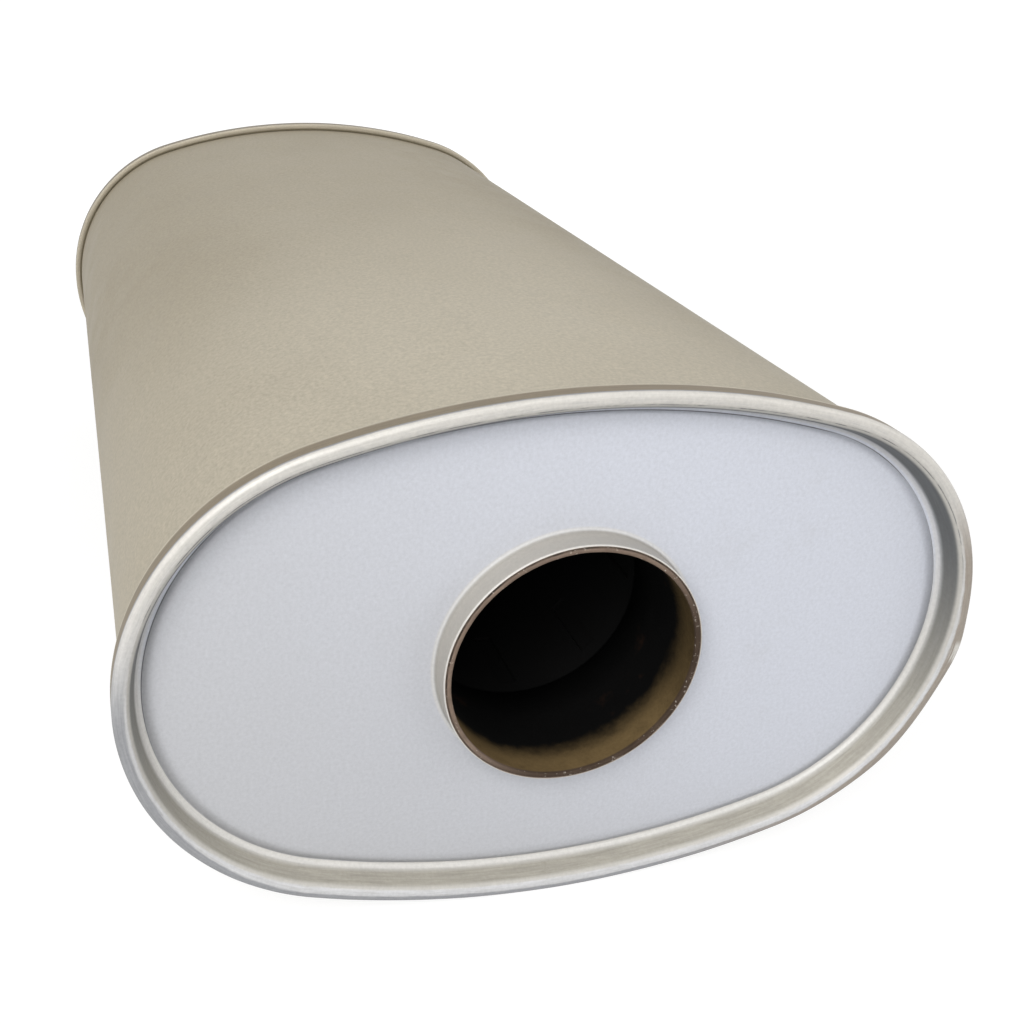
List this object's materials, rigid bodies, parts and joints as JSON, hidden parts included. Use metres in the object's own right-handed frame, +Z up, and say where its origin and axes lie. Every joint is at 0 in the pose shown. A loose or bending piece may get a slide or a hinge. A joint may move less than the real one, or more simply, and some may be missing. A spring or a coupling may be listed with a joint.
{
  "type": "exhaust muffler",
  "caption": "Oval steel exhaust muffler lying on its flat side, with a straight-through pipe neck in the middle of each recessed end cap and double lock seams round both ends.",
  "frame": {"origin": "middle of the body, on the axis through both necks", "axes": "+X across the body its wide way, +Y along the gas flow from the inlet end to the outlet end, +Z up, across the body its low way"},
  "size_m": [0.3566, 0.5988, 0.2286],
  "materials": {
    "shell_steel": "satin, warm tan, faint mottling",
    "cap_steel": "satin, cool light grey",
    "neck_steel": "heat-browned",
    "inner_steel": "plain",
    "wire_wool": "matte fibres",
    "glass_wool": "matte fibres"
  },
  "bodies": {
    "root": {"shell": "shell_steel", "inlet_cap": "cap_steel", "outlet_cap": "cap_steel", "inlet_neck": "neck_steel", "outlet_neck": "neck_steel", "inlet_gas_tube": "inner_steel", "outlet_gas_tube": "inner_steel", "inlet_tube_plug": "inner_steel", "outlet_tube_plug": "inner_steel", "centre_sleeve": "inner_steel", "inlet_baffle": "inner_steel", "centre_baffle": "inner_steel", "outlet_baffle": "inner_steel", "upper_left_transfer_tube": "inner_steel", "upper_right_transfer_tube": "inner_steel", "lower_left_transfer_tube": "inner_steel", "lower_right_transfer_tube": "inner_steel", "inlet_wire_wool_wrap": "wire_wool", "outlet_wire_wool_wrap": "wire_wool", "inlet_wool_pack": "glass_wool", "outlet_wool_pack": "glass_wool"}
  },
  "joints": []
}
